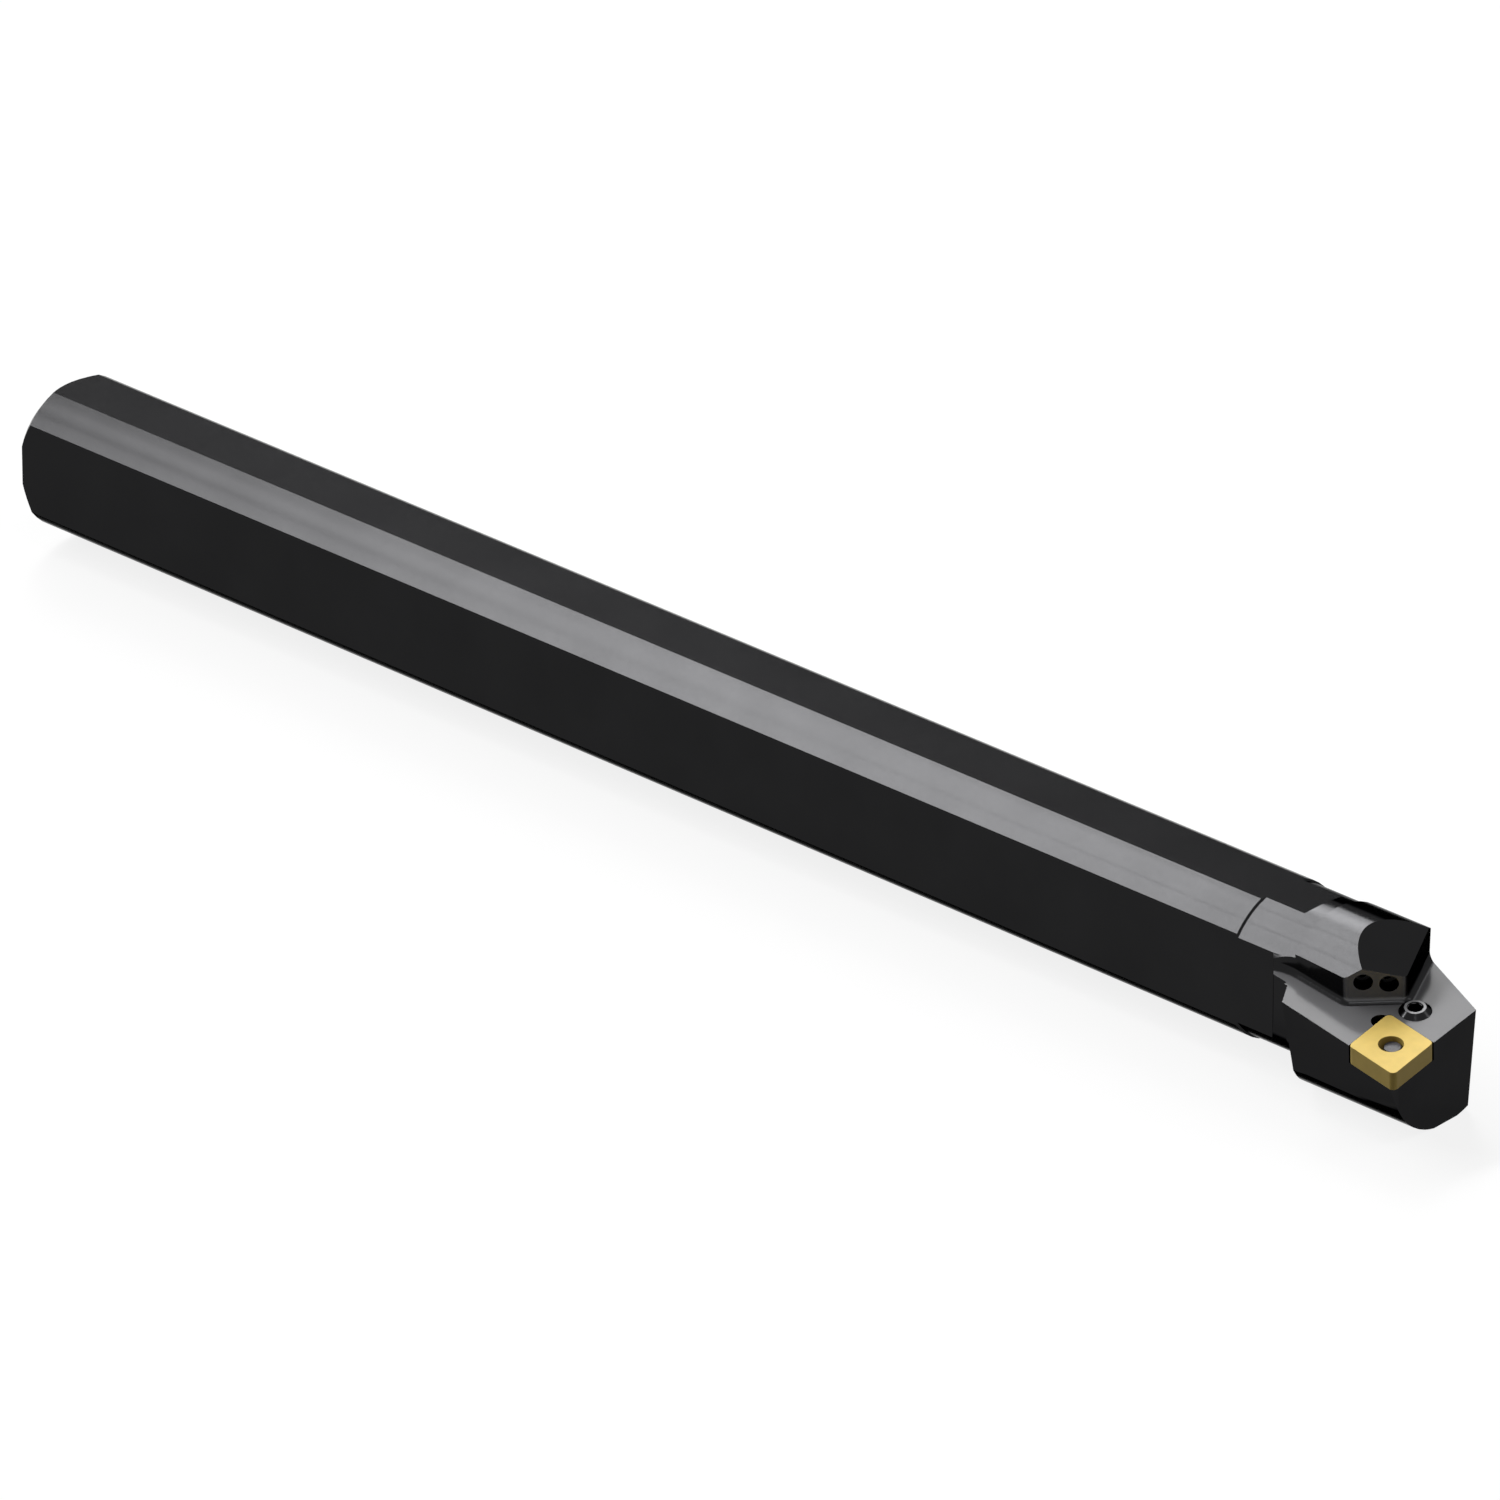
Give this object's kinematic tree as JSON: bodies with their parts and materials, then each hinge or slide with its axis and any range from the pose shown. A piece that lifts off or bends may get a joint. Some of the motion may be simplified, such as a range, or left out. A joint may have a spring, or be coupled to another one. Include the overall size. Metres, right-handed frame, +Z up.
{
  "type": "boring bar",
  "caption": "Left-hand steel boring bar with a lever-clamped rhombic insert, a chip pocket with coolant outlets and a flatted round shank.",
  "frame": {"origin": "centre of the shank's back end face, on the shank's axis", "axes": "+X along the shank from the back end to the head, +Z up, square to the top flat; the insert's nose is at z = 0 on the -Y side, where it cuts"},
  "size_m": [0.3, 0.0294, 0.0264],
  "materials": {
    "steel_black": "black oxide, glossy",
    "carbide_gold": "gold nitride coating on carbide, satin",
    "steel_lever": "hardened steel, satin",
    "steel_screw": "black oxide, satin"
  },
  "bodies": {
    "bar": {"bar": "steel_black", "insert": "carbide_gold"},
    "lever": {"lever": "steel_lever"},
    "lever_screw": {"lever_screw": "steel_screw"}
  },
  "joints": [
    {"name": "screw_travel", "type": "slide", "parent": "bar", "child": "lever_screw", "axis": [0.1149, -0.1605, 0.9803], "range_m": [0, 0.0008]},
    {"name": "lever_tilt", "type": "hinge", "parent": "bar", "child": "lever", "pos_m": [0.29411, -0.01088, -0.00483], "axis": [-0.9442, -0.3242, 0.0576], "range_deg": [-6.9, 0]}
  ],
  "couplings": [
    {"joint": "lever_tilt", "follows": "screw_travel", "rad_per_m": -150.5}
  ]
}
